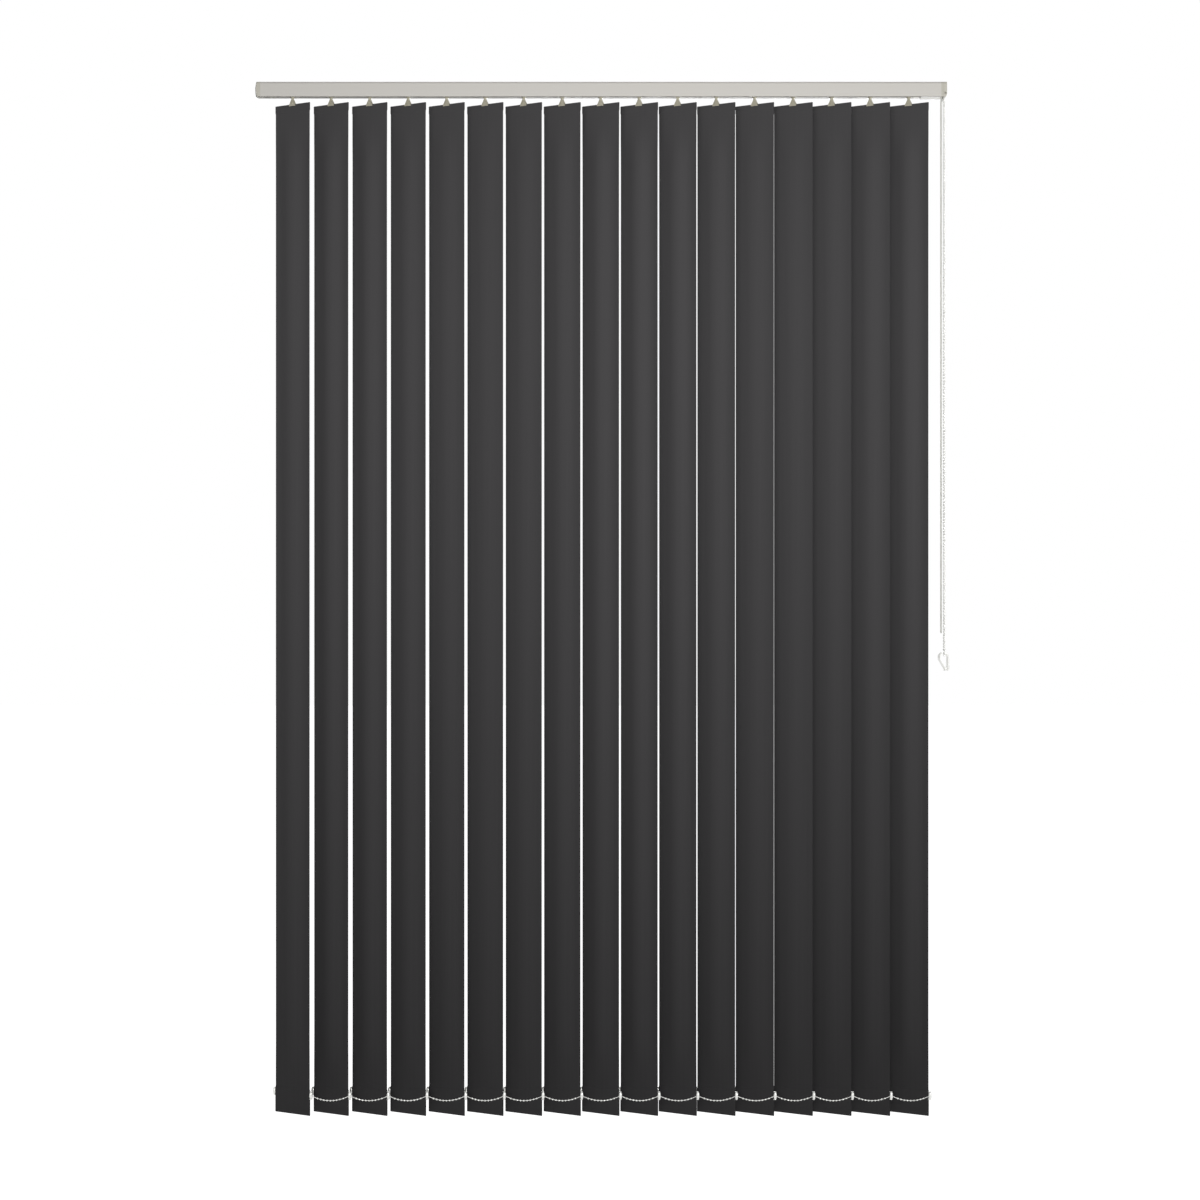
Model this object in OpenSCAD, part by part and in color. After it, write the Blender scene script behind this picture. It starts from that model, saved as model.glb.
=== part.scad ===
// Vertical blind: fabric vanes that hang from hooks in a headrail, tilted by a bead chain and
// drawn aside by a cord. Millimetres. X runs along the headrail, -Y faces the room and +Z is up.
// The origin lies on the ceiling plane, above the middle of the row of vanes.

/* [Vanes] */
// Number of vanes
vane_count = 17; // [5:1:17]
// Distance between the stems of neighbouring vanes
vane_pitch = 78; // [74:1:84]
// Width of a vane
vane_width = 89; // [86:1:96]
// Length of a vane from its top edge to its bottom edge
vane_length = 2045; // [1000:5:2600]
// Angle between the vanes and the headrail at rest, in degrees
vane_angle = 33.5; // [25:0.5:65]
// Thickness of the fabric
fabric = 0.5; // [0.3:0.05:0.8]
// Depth of the bow across a vane, halfway down
bow = 2; // [1:0.5:7]
// Length over which the bow grows from a hem
bow_run = 120; // [60:5:300]
// Height of the sewn seam that closes a hem
seam = 3; // [2:0.5:5]

/* [Hem inserts] */
// Height of the hanger plate in the top hem
hanger_height = 13; // [10:0.5:20]
// Thickness of the hanger plate
hanger_thickness = 1.2; // [0.8:0.1:1.4]
// Width of the hanger's tab
tab_width = 7; // [6:0.5:10]
// Height of the weight plate in the bottom hem
weight_height = 49; // [35:1:60]
// Thickness of the weight plate
weight_thickness = 2; // [1.5:0.1:2.4]
// How far both plates stop short of the vane's edges
insert_inset = 2; // [1:0.5:4]
// Room round a plate in its hem
pocket_gap = 0.2; // [0.1:0.05:0.4]

/* [Headrail] */
// Distance from the first stem to the outer face of the idle end
idle_margin = 75.4; // [70:0.1:90]
// Distance from the last stem to the outer face of the control end
control_margin = 75.6; // [75:0.1:95]
// Depth of the headrail from front to back
rail_depth = 40; // [39:0.5:46]
// Height of the headrail behind its skirt
rail_height = 27; // [26.5:0.5:32]
// Wall of the headrail
rail_wall = 1.5; // [1.2:0.1:1.8]
// How far the front skirt reaches below the headrail
rail_skirt = 3.5; // [2:0.5:6]
// Radius of the headrail's top corners
rail_corner = 5; // [3.5:0.5:6]
// Width of the slot in the headrail's underside
slot_width = 14; // [12:0.5:16]
// Height of the lips along the slot
slot_lip = 2; // [1:0.5:3]
// Depth of the recess along the top
clip_recess = 5; // [4.5:0.5:7]
// Width of the recess's mouth
clip_throat = 24; // [20:0.5:26]

/* [Mounting clips] */
// Distance between the outer clips
clip_spacing = 1100; // [200:10:1200]
// Length of a clip along the headrail
clip_length = 30; // [20:1:50]
// Thickness of the clip's steel
clip_thickness = 1.2; // [0.8:0.1:1.6]
// How far a clip holds the headrail below the ceiling
clip_rise = 1; // [0.5:0.5:3]
// Radius of the clip's screw hole
screw_r = 2.25; // [1.5:0.25:3]

/* [Carriers] */
// Length of a carrier along the headrail
carrier_length = 18; // [16:0.5:19]
// Width of a carrier's upper part
carrier_width = 30; // [28:0.5:34]
// Width of a carrier between its wheels
carrier_waist = 19; // [16:0.5:21]
// Radius of a carrier's wheels
wheel_r = 4; // [3:0.25:4.25]
// Width of a wheel
wheel_width = 4; // [2:0.5:5]
// Distance between the two wheels' middles
wheel_track = 26; // [25:0.5:28]
// Radius of a wheel's axle
axle_r = 1.5; // [1:0.25:2]
// Radius of the worm
worm_r = 3.4; // [3.2:0.1:3.6]
// Length of the worm
worm_length = 8; // [6:0.5:10]

/* [Hooks] */
// Number of teeth on the worm wheel
gear_teeth = 12; // [8:1:16]
// Radius of the worm wheel over its teeth
gear_r = 5; // [4.5:0.1:5.2]
// Height of the worm wheel
gear_height = 4.6; // [3:0.2:5]
// Radius of the stem
stem_r = 2.5; // [2:0.1:3]
// Radius of the collar under the slot
collar_r = 4.8; // [3.5:0.1:5]
// Radius of the neck
neck_r = 2.7; // [2.2:0.1:3.4]
// Length of the collar and neck
neck_length = 6.7; // [5:0.1:12]
// Width of the fork at its foot
fork_width = 15.5; // [12:0.5:20]
// Height of the fork
fork_height = 12.7; // [11.5:0.1:18]
// Thickness of each leg of the fork
leg = 1; // [0.8:0.1:1.6]
// Radius of the peg across the fork
peg_r = 1.2; // [0.9:0.1:1.4]

/* [Tilt drive] */
// Radius of the tilt rod
rod_r = 2.2; // [1.8:0.1:2.4]
// Number of pockets in the chain wheel
chain_pockets = 7; // [6:1:8]
// Radius of the chain wheel to its beads' centres
chain_wheel_r = 6.7; // [6.5:0.1:6.9]
// Width of the chain wheel
chain_wheel_width = 5; // [4:0.2:5.2]
// Radius of the tilt chain's beads
tilt_bead_r = 2.2; // [1.8:0.1:2.4]
// Radius of the traverse cord
cord_r = 1.1; // [0.8:0.1:1.4]

/* [End pieces] */
// Length of the idle end cap outside the headrail
idle_flange = 12; // [8:0.5:16]
// Radius of the dome on the idle end cap
dome_r = 60; // [45:1:150]
// Length of the control housing outside the headrail
control_flange = 12; // [11.5:0.5:16]
// Depth of the nose that each end piece pushes into the headrail
nose_length = 26; // [18:1:28]
// Length of the key that shows in the slot at each end
key_length = 9; // [5:1:12]
// Length of the cover under the control end
cover_length = 39; // [25:1:44]
// Thickness of that cover
cover_thickness = 1.5; // [1:0.1:2]
// How far the keys reach below the slot
key_drop = 2.5; // [0.5:0.1:3.5]
// Radius of the control housing's outer corners
housing_corner = 3; // [1:0.5:4]
// Distance from the control end's face to the tilt chain
chain_inset = 4; // [3.8:0.1:5]
// Distance from the control end's face to the traverse cord
cord_inset = 10.3; // [9.5:0.1:11]

/* [Cord clip] */
// Outer radius of the clip's loop
loop_r = 11.7; // [9:0.1:16]
// Thickness of the clip's strap
strap = 2.5; // [1.5:0.1:3]
// Width of the clip's strap
strap_width = 7.4; // [5:0.1:8]
// Height of the clip
loop_height = 38; // [34:0.5:48]
// Gap between the clip's two tabs
tab_gap = 4.5; // [4:0.1:9]
// Radius of the screw hole through the tabs
tab_screw_r = 2; // [1.5:0.1:2.5]
// Angle by which the clip is turned on the chain, in degrees
clip_turn = 28; // [0:1:28]

/* [Bottom chains] */
// Radius of a bead
bead_r = 1.6; // [1.2:0.1:1.8]
// Distance between beads
bead_pitch = 6.5; // [4.5:0.1:8]
// Radius of the string
string_r = 0.5; // [0.3:0.1:0.8]
// How far the chain hangs down between two vanes
chain_sag = 10; // [5:0.5:16]
// Height of a chain clip
chain_clip_height = 13; // [8:0.5:16]
// Radius of a chain clip's end rings
chain_clip_r = 3; // [2.6:0.1:3.2]
// Radius of the pins at a weight's ends
pin_r = 1.25; // [0.9:0.05:1.4]

/* [Hidden] */
$fn = 48;
// How far every cut runs past the face that it opens
overrun = 1;
// Clearance of parts that slide, roll or turn past each other
run_gap = 0.3;
// Clearance of a round shaft in its bearing
shaft_gap = 0.1;
// Places of the stems along the headrail
function stem_x(i) = (i - (vane_count + 1) / 2) * vane_pitch;
stations = [1 : vane_count];
// Two-figure number of a station, for its nodes' names
function number(i) = str(i < 10 ? "0" : "", i);

// Levels of the headrail
rail_top = -clip_rise;
rail_bottom = rail_top - rail_height;
skirt_bottom = rail_bottom - rail_skirt;
cover_bottom = rail_bottom - cover_thickness;
lip_bottom = rail_top - rail_wall;
recess_floor = rail_top - clip_recess;
chamber_top = recess_floor - rail_wall;
chamber_floor = rail_bottom + rail_wall;
lip_top = chamber_floor + slot_lip;
rail_half = rail_depth / 2;
chamber_half = rail_half - rail_wall;
// Ends of the headrail and of the pieces that close it
idle_face = stem_x(1) - idle_margin;
control_face = stem_x(vane_count) + control_margin;
rail_start = idle_face + idle_flange;
rail_end = control_face - control_flange;

// Carrier: room above it, roof over the worm, room below it and its own levels
carrier_headroom = 0.8;
carrier_roof = 0.9;
carrier_foot_gap = 0.5;
slot_gap = 0.5;
worm_room = 0.4;
thread_depth = 0.4;
thread_turns = 4;
carrier_top = chamber_top - carrier_headroom;
carrier_bottom = rail_bottom + carrier_foot_gap;
worm_chamber_r = worm_r + worm_room;
rod_z = carrier_top - carrier_roof - worm_chamber_r;
rod_y = gear_r + run_gap + worm_r;
gear_bottom = rod_z - gear_height / 2;
pocket_floor = gear_bottom - run_gap;
gear_pocket_r = gear_r + worm_room;
wheel_z = chamber_floor + run_gap + wheel_r;
carrier_shoulder = wheel_z + wheel_r + run_gap;
waist_bottom = lip_top + slot_gap;
tooth_depth = 0.9;
// Half-widths of a tooth at its root and tip, as shares of the tooth pitch
tooth_shares = [0.34, 0.16];

// Hook: levels from the collar down to the fork's foot
collar_top = carrier_bottom - run_gap;
collar_height = 3.3;
fork_top = collar_top - neck_length;
fork_bottom = fork_top - fork_height;
fork_foot = 2.2;
tab_margin = 0.6;
peg_head = 0.6;
peg_head_r = 2;
// Where the fork begins to flare and where the flare steepens, as shares of its height, and how
// much of the flare is reached there
flare_shares = [0.12, 0.55];
flare_part = 0.62;
neck_taper = 0.8;
// How far down the fork its peg lies, and how far the vane's edge lies below the peg
peg_share = 0.56;
tab_rise = 1.9;
peg_z = fork_top - fork_height * peg_share;
tab_top = peg_z + peg_r + pocket_gap + tab_margin;
vane_top = peg_z - tab_rise;

// Vane: its hems, and the plates in them
top_hem = hanger_height + fabric + 2 * pocket_gap + seam;
bottom_hem = weight_height + fabric + 2 * pocket_gap + seam;
top_hem_thickness = hanger_thickness + 2 * (pocket_gap + fabric);
bottom_hem_thickness = weight_thickness + 2 * (pocket_gap + fabric);
insert_width = vane_width - 2 * insert_inset;
fork_slot = top_hem_thickness + 2 * run_gap;
fork_thickness = fork_slot + 2 * leg;
vane_bottom = vane_top - vane_length;
hanger_top = vane_top - fabric - pocket_gap;
weight_top = vane_bottom + fabric + pocket_gap + weight_height;
columns = 6;
bow_steps = 4;
function ease(t) = t * t * (3 - 2 * t);
// Rows of a vane from top to bottom: depth below its top edge, thickness and share of the bow
upper_rows = concat(
    [[0, top_hem_thickness, 0], [top_hem - seam, top_hem_thickness, 0], [top_hem, fabric, 0]],
    [for (k = [1 : bow_steps]) [top_hem + bow_run * k / bow_steps, fabric, ease(k / bow_steps)]]);
lower_rows = concat(
    [for (k = [bow_steps : -1 : 1])
        [vane_length - bottom_hem - bow_run * k / bow_steps, fabric, ease(k / bow_steps)]],
    [[vane_length - bottom_hem, fabric, 0],
     [vane_length - bottom_hem + seam, bottom_hem_thickness, 0],
     [vane_length, bottom_hem_thickness, 0]]);
vane_rows = concat(upper_rows, lower_rows);

// Bottom chains: the pins that carry their clips, and the clips
pin_gap = 0.5;
lug_height = 1.5;
lug_r = 2;
clip_ring_height = 2.5;
clip_barrel_r = 2.4;
pin_offset = vane_width / 2 + chain_clip_r + pin_gap;
chain_clip_top = weight_top - lug_height - run_gap;
chain_z = chain_clip_top - chain_clip_height / 2;
// Least distance from a pin to the first bead beside it
bead_margin = 6.5;
bead_count = floor((vane_pitch - 2 * bead_margin) / bead_pitch) + 1;
function sag_at(x) = -chain_sag * (1 - pow(2 * x / vane_pitch, 2));
bead_places = [for (k = [0 : bead_count - 1]) (k - (bead_count - 1) / 2) * bead_pitch];
string_end = vane_pitch / 2 - clip_barrel_r + string_r;
string_places = concat([-string_end], bead_places, [string_end]);

// Control end: the chain's chamber, the window in front of it and the cord's holes
chain_room = 0.7;
wheel_room = 0.4;
hole_room = 0.4;
cord_hole_rise = 4.5;
collar_groove = 4;
groove_depth = 0.6;
window_width = 4;
window_height = 4;
window_depth = 5;
window_drop = 21;
chamfer_run = 2.6;
chamfer_rise = 6;
chain_x = control_face - chain_inset;
cord_x = control_face - cord_inset;
chain_chamber_r = chain_wheel_r + tilt_bead_r + chain_room;
chain_chamber_width = max(2 * tilt_bead_r + 2 * chain_room, chain_wheel_width + 2 * wheel_room);
wheel_rim = 0.5;
wheel_groove = 1.8;
rod_groove_r = 0.5;
rod_grooves = 3;
rod_tip_gap = 1;
nose_gap = 0.3;
cover_gap = 0.3;

// Traverse cord: an endless cord whose two falls hang one behind the other
traverse_route = [
    [689.3, -14, -25], [689.3, -14, -60], [689.3, -14, -200], [689.3, -14, -350],
    [689.3, -14, -500], [689.3, -14, -650], [689.3, -14, -800], [689.3, -14, -950],
    [689.3, -14, -1050], [689.3, -14, -1109], [689.3, -13.6, -1110.9], [689.3, -12.5, -1112.5],
    [689.3, -10.9, -1113.6], [689.3, -9, -1114], [689.3, -7.1, -1113.6], [689.3, -5.5, -1112.5],
    [689.3, -4.4, -1110.9], [689.3, -4, -1109], [689.3, -4, -1050], [689.3, -4, -950],
    [689.3, -4, -800], [689.3, -4, -650], [689.3, -4, -500], [689.3, -4, -350],
    [689.3, -4, -200], [689.3, -4, -60], [689.3, -4, -25]];
cord_falls = [-14, -4];
// Tilt chain: an endless bead chain, drawn as a plain tube of its beads' diameter
tilt_route = [
    [695.6, 2, -25], [695.6, 2, -60], [695.6, 2, -200], [695.6, 2, -350], [695.6, 2, -500],
    [695.6, 2, -650], [695.6, 2, -800], [695.6, 2, -950], [695.6, 2, -1100], [695.6, 2, -1154],
    [695.6, 2.5, -1156.6], [695.6, 4, -1158.7], [695.6, 6.1, -1160.2], [695.6, 8.7, -1160.7],
    [695.6, 11.3, -1160.2], [695.6, 13.4, -1158.7], [695.6, 14.9, -1156.6], [695.6, 15.4, -1154],
    [695.6, 15.4, -1100], [695.6, 15.4, -950], [695.6, 15.4, -800], [695.6, 15.4, -650],
    [695.6, 15.4, -500], [695.6, 15.4, -350], [695.6, 15.4, -200], [695.6, 15.4, -60],
    [695.6, 15.4, -25]];
// Middle of the tilt chain's lower bend, which carries the cord clip
chain_bend = [695.6, 8.7, -1154];
cord_sides = 8;
strap_seat = 1.3;
slant_angle = 216;
tab_height = 7;

// Extrudes a shape drawn in Y and Z along X
module along_x(from, to) {
    translate([from, 0, 0])
        rotate([90, 0, 90])
            linear_extrude(height = to - from)
                children();
}

// Extrudes a shape drawn in X and Z evenly to both sides along Y
module across_y(width) {
    rotate([90, 0, 0])
        linear_extrude(height = width, center = true)
            children();
}

// A round bar or bore along X
module bar_x(from, to, r) {
    translate([from, 0, 0])
        rotate([0, 90, 0])
            cylinder(r = r, h = to - from);
}

// A solid rectangle from one corner to the other
module area(low, high) {
    translate(low)
        square(high - low);
}

// A solid box from one corner to the other
module block(low, high) {
    translate(low)
        cube(high - low);
}

// The headrail's outer shape: round top corners, and a skirt with a rolled edge at the front
module rail_outline() {
    area([-rail_half, rail_bottom], [rail_half, rail_top - rail_corner]);
    area([-rail_half + rail_corner, rail_bottom], [rail_half - rail_corner, rail_top]);
    for (side = [-1, 1])
        translate([side * (rail_half - rail_corner), rail_top - rail_corner])
            circle(r = rail_corner);
    area([-rail_half, skirt_bottom + rail_wall], [-rail_half + rail_wall, rail_bottom + rail_wall]);
    translate([-rail_half + rail_wall, skirt_bottom + rail_wall])
        circle(r = rail_wall);
}

// The hollow of one top corner, inside the round wall
module corner_hollow() {
    intersection() {
        translate([rail_half - rail_corner, rail_top - rail_corner])
            circle(r = rail_corner - rail_wall);
        area([rail_half - rail_corner + rail_wall, chamber_top - rail_wall], [rail_half, rail_top]);
    }
}

// The headrail's section: a recess with lips on top, and a slotted chamber below it
module rail_section() {
    difference() {
        rail_outline();
        area([-chamber_half, chamber_floor], [chamber_half, chamber_top]);
        corner_hollow();
        mirror([1, 0])
            corner_hollow();
        area([-rail_half + rail_corner, recess_floor], [rail_half - rail_corner, lip_bottom]);
        area([-clip_throat / 2, recess_floor], [clip_throat / 2, rail_top + overrun]);
        area([-slot_width / 2, rail_bottom - overrun], [slot_width / 2, chamber_floor + overrun]);
    }
    for (side = [-1, 1])
        translate([side * (slot_width + rail_wall) / 2, 0])
            area([-rail_wall / 2, rail_bottom], [rail_wall / 2, lip_top]);
}

module headrail() {
    color("silver")
        along_x(rail_start, rail_end)
            rail_section();
}

// Half of a mounting clip's section: a plate, a wall and a foot that hooks under the lip
module clip_half_section() {
    half = clip_throat / 2 - run_gap;
    foot_reach = (rail_half - rail_corner + clip_throat / 2) / 2 + run_gap;
    area([0, -clip_thickness], [half, 0]);
    area([half - clip_thickness, lip_bottom - clip_thickness], [half, 0]);
    area([half - clip_thickness, lip_bottom - clip_thickness], [foot_reach, lip_bottom]);
}

// Three spring clips that hold the headrail by the lips of its top recess
module mounting_clips() {
    color("gainsboro")
        for (x = [-clip_spacing / 2, 0, clip_spacing / 2])
            difference() {
                along_x(x - clip_length / 2, x + clip_length / 2) {
                    clip_half_section();
                    mirror([1, 0])
                        clip_half_section();
                }
                translate([x, 0, -clip_thickness - overrun])
                    cylinder(r = screw_r, h = clip_thickness + 2 * overrun);
            }
}

// The section of a carrier: wide over the worm, a waist between the wheels, a foot in the slot
module carrier_section() {
    waist = carrier_waist / 2;
    foot = slot_width / 2 - slot_gap;
    area([-carrier_width / 2, carrier_shoulder], [carrier_width / 2, carrier_top]);
    area([-waist, waist_bottom], [waist, carrier_top]);
    area([-foot, carrier_bottom], [foot, carrier_top]);
}

// The cuts for one station: worm wheel pocket, stem bearing and worm chamber
module station_cuts(x) {
    translate([x, 0, pocket_floor])
        cylinder(r = gear_pocket_r, h = carrier_top - pocket_floor + overrun);
    translate([x, 0, carrier_bottom - overrun])
        cylinder(r = stem_r + shaft_gap, h = pocket_floor - carrier_bottom + 2 * overrun);
    translate([0, rod_y, rod_z])
        bar_x(x - worm_length / 2, x + worm_length / 2, worm_chamber_r);
}

// A worm: a sleeve round the tilt rod with thread ridges
module worm(x) {
    long = worm_length + 2 * run_gap;
    turn = long / thread_turns;
    root = worm_r - thread_depth;
    bore = rod_r + run_gap;
    ridges = [for (k = [0 : thread_turns - 1], tip = [0, 1])
        [root + tip * thread_depth, -long / 2 + (k + tip / 2) * turn]];
    translate([x, rod_y, rod_z])
        rotate([0, 90, 0])
            rotate_extrude()
                polygon(concat([[bore, -long / 2]], ridges, [[root, long / 2], [bore, long / 2]]));
}

// The two wheels of a carrier, on axles that reach into its waist
module carrier_wheels(x) {
    for (side = [-1, 1])
        translate([x, side * wheel_track / 2, wheel_z])
            rotate([90, 0, 0]) {
                cylinder(r = wheel_r, h = wheel_width, center = true);
                cylinder(r = axle_r, h = wheel_track - carrier_waist + wheel_width, center = true);
            }
}

module carrier(i) {
    x = stem_x(i);
    from = x - carrier_length / 2;
    to = x + carrier_length / 2;
    color("whitesmoke") {
        difference() {
            along_x(from, to)
                carrier_section();
            station_cuts(x);
            translate([0, rod_y, rod_z])
                bar_x(from - overrun, to + overrun, rod_r + run_gap);
        }
        worm(x);
        carrier_wheels(x);
    }
}

// The worm wheel's outline, one tooth after another
module gear_outline() {
    step = 360 / gear_teeth;
    root = gear_r - tooth_depth;
    polygon([for (k = [0 : gear_teeth - 1], corner = [-1, -0.5, 0.5, 1])
        let (tip = abs(corner) < 1)
        let (angle = (k + sign(corner) * (tip ? tooth_shares[1] : tooth_shares[0])) * step)
        (tip ? gear_r : root) * [cos(angle), sin(angle)]]);
}

// The fork, drawn across the vane: as slim as the neck at first, then flared to a wide foot
module fork_outline() {
    half = fork_width / 2;
    flare = neck_r + (half - neck_r) * flare_part;
    right = [[neck_r, fork_top], [neck_r, fork_top - fork_height * flare_shares[0]],
        [flare, fork_top - fork_height * flare_shares[1]], [half, fork_bottom + fork_foot],
        [half, fork_bottom]];
    left = [for (k = [len(right) - 1 : -1 : 0]) [-right[k][0], right[k][1]]];
    polygon(concat(right, left));
}

// Stem with its worm wheel, collar, neck and fork, in the hook's own place
module hook_body() {
    translate([0, 0, gear_bottom])
        linear_extrude(height = gear_height)
            gear_outline();
    translate([0, 0, collar_top])
        cylinder(r = stem_r, h = gear_bottom - collar_top);
    rotate_extrude()
        polygon([[0, collar_top], [collar_r, collar_top], [collar_r, collar_top - collar_height],
            [neck_r, collar_top - collar_height - neck_taper], [neck_r, peg_z + fork_slot],
            [0, peg_z + fork_slot]]);
    difference() {
        union() {
            across_y(fork_thickness)
                fork_outline();
            translate([0, 0, peg_z])
                rotate([90, 0, 0])
                    cylinder(r = peg_head_r, h = fork_thickness + 2 * peg_head, center = true);
        }
        block([-fork_width, -fork_slot / 2, fork_bottom - overrun],
            [fork_width, fork_slot / 2, tab_top + run_gap]);
    }
    translate([0, 0, peg_z])
        rotate([90, 0, 0])
            cylinder(r = peg_r, h = fork_thickness, center = true);
}

// The plate in the top hem, with a tab that hangs on the fork's peg
module hanger() {
    half = insert_width / 2;
    difference() {
        across_y(hanger_thickness) {
            area([-half, hanger_top - hanger_height], [half, hanger_top]);
            area([-tab_width / 2, hanger_top - hanger_height], [tab_width / 2, tab_top]);
        }
        translate([0, 0, peg_z])
            rotate([90, 0, 0])
                cylinder(r = peg_r + pocket_gap, h = hanger_thickness + 2 * overrun, center = true);
    }
}

// Places a hook or a vane at its stem, turned to its angle at rest
module at_station(i) {
    translate([stem_x(i), 0, 0])
        rotate([0, 0, -vane_angle])
            children();
}

module hook(i) {
    color("tan")
        at_station(i) {
            hook_body();
            hanger();
        }
}

// A point of the fabric: across runs from -1 to 1, face is -1 at the front and 1 at the back
function fabric_point(row, across, face) =
    let (depth = bow * row[2])
    let (chord = vane_width - 8 * depth * depth / (3 * vane_width))
    [across * chord / 2,
     face * row[1] / 2 + depth * (across * across - 1),
     vane_top - row[0]];

// The fabric as one closed skin: a bowed sheet between two thicker hems
module fabric_skin() {
    rows = len(vane_rows);
    wide = columns + 1;
    back = rows * wide;
    points = [for (face = [-1, 1], row = vane_rows, c = [0 : columns])
        fabric_point(row, 2 * c / columns - 1, face)];
    fronts = [for (r = [0 : rows - 2], c = [0 : columns - 1]) let (a = r * wide + c)
        each [[a, a + 1, a + wide], [a + 1, a + wide + 1, a + wide]]];
    backs = [for (f = fronts) [f[2] + back, f[1] + back, f[0] + back]];
    sides = [for (r = [0 : rows - 2]) let (a = r * wide) let (b = a + columns)
        each [[a, a + wide, a + back], [a + wide, a + wide + back, a + back],
              [b + wide, b, b + back], [b + wide + back, b + wide, b + back]]];
    ends = [for (c = [0 : columns - 1]) let (b = (rows - 1) * wide + c)
        each [[c + 1, c, c + back], [c + 1 + back, c + 1, c + back],
              [b, b + 1, b + back], [b + 1, b + 1 + back, b + back]]];
    polyhedron(points = points, faces = concat(fronts, backs, sides, ends));
}

// The fabric with its open-ended hems, and the slit that the hanger's tab comes through
module vane_fabric() {
    top_room = hanger_thickness / 2 + pocket_gap;
    bottom_room = weight_thickness / 2 + pocket_gap;
    difference() {
        fabric_skin();
        block([-vane_width, -top_room, vane_top - top_hem + seam],
            [vane_width, top_room, vane_top - fabric]);
        block([-vane_width, -bottom_room, vane_bottom + fabric],
            [vane_width, bottom_room, vane_bottom + bottom_hem - seam]);
        block([-tab_width / 2 - pocket_gap, -top_room, hanger_top],
            [tab_width / 2 + pocket_gap, top_room, vane_top + overrun]);
    }
}

// One end of a weight: two lugs that hold an upright pin for a chain clip
module weight_end() {
    pin_foot = chain_clip_top - chain_clip_height - run_gap - lug_height;
    for (z = [weight_top - lug_height, pin_foot]) {
        block([insert_width / 2 - lug_r, -weight_thickness / 2, z],
            [pin_offset, weight_thickness / 2, z + lug_height]);
        translate([pin_offset, 0, z])
            cylinder(r = lug_r, h = lug_height);
    }
    translate([pin_offset, 0, pin_foot])
        cylinder(r = pin_r, h = weight_top - pin_foot);
}

// The weight plate in the bottom hem
module weight() {
    half = insert_width / 2;
    block([-half, -weight_thickness / 2, weight_top - weight_height],
        [half, weight_thickness / 2, weight_top]);
    weight_end();
    mirror([1, 0, 0])
        weight_end();
}

module vane(i) {
    color("dimgray")
        at_station(i) {
            vane_fabric();
            weight();
        }
}

// A chain clip: a barrel with two end rings that turns on a weight's pin
module chain_clip() {
    ring_places = [0, chain_clip_height - clip_ring_height];
    translate([0, 0, chain_clip_top - chain_clip_height])
        rotate([0, 0, 90])
            difference() {
                union() {
                    cylinder(r = clip_barrel_r, h = chain_clip_height);
                    for (z = ring_places)
                        translate([0, 0, z])
                            cylinder(r = chain_clip_r, h = clip_ring_height);
                }
                translate([0, 0, -overrun])
                    cylinder(r = pin_r + run_gap, h = chain_clip_height + 2 * overrun);
            }
}

// One length of string from a place x to the next, hanging in the sag's curve
module string_piece(from, to) {
    rise = sag_at(to) - sag_at(from);
    run = to - from;
    translate([from, 0, chain_z + sag_at(from)])
        rotate([0, 90 - atan2(rise, run), 0])
            cylinder(r = string_r, h = norm([run, rise]));
}

// The beads and string between two clips; each bead's seam is turned away from its string
module swag() {
    for (x = bead_places)
        translate([x, 0, chain_z + sag_at(x)])
            rotate([0, 0, 90])
                sphere(r = bead_r);
    for (k = [1 : len(string_places) - 1])
        string_piece(string_places[k - 1], string_places[k]);
}

// A whole chain along one edge of the vanes: side is 1 at the front and -1 at the back
module bottom_chain(side) {
    away = side * pin_offset;
    translate([away * cos(vane_angle), -away * sin(vane_angle), 0]) {
        for (i = stations)
            translate([stem_x(i), 0, 0])
                chain_clip();
        for (i = [1 : vane_count - 1])
            translate([stem_x(i) + vane_pitch / 2, 0, 0])
                swag();
    }
}

module front_bottom_chain() {
    color("white")
        bottom_chain(1);
}

module back_bottom_chain() {
    color("white")
        bottom_chain(-1);
}

// The tilt rod's section, with grooves that drive the worms
module rod_section() {
    difference() {
        circle(r = rod_r);
        for (k = [1 : rod_grooves])
            rotate(360 * k / rod_grooves)
                translate([rod_r, 0])
                    circle(r = rod_groove_r);
    }
}

// The chain wheel: a grooved rim with a pocket for each bead
module chain_wheel() {
    rim = chain_wheel_r + wheel_rim;
    difference() {
        bar_x(-chain_wheel_width / 2, chain_wheel_width / 2, rim);
        rotate([0, 90, 0])
            rotate_extrude()
                area([chain_wheel_r - wheel_groove, -wheel_groove / 2],
                    [rim + overrun, wheel_groove / 2]);
        for (k = [1 : chain_pockets])
            rotate([360 * k / chain_pockets, 0, 0])
                translate([0, chain_wheel_r, 0])
                    sphere(r = tilt_bead_r + shaft_gap);
    }
}

module tilt_rod() {
    color("darkgray")
        translate([0, rod_y, rod_z]) {
            along_x(rail_start + rod_tip_gap, chain_x)
                rod_section();
            translate([chain_x, 0, 0])
                chain_wheel();
        }
}

// The part of an end piece that pushes into the headrail, above the slot's lips
module nose_section() {
    half = chamber_half - nose_gap;
    area([-half, waist_bottom], [half, chamber_top - nose_gap]);
}

// A key that fills the slot and shows below it
module key(from, to) {
    half = slot_width / 2 - nose_gap;
    along_x(from, to)
        area([-half, rail_bottom - key_drop], [half, waist_bottom + overrun]);
}

module idle_end_cap() {
    nose_end = rail_start + nose_length;
    middle = (rail_top + skirt_bottom) / 2;
    color("silver")
        difference() {
            union() {
                intersection() {
                    along_x(idle_face, rail_start)
                        rail_outline();
                    translate([idle_face + dome_r, 0, middle])
                        sphere(r = dome_r, $fn = 96);
                }
                along_x(rail_start - overrun, nose_end)
                    nose_section();
                key(nose_end - key_length, nose_end);
            }
            translate([0, rod_y, rod_z])
                bar_x(rail_start, nose_end + overrun, rod_r + shaft_gap);
        }
}

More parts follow.
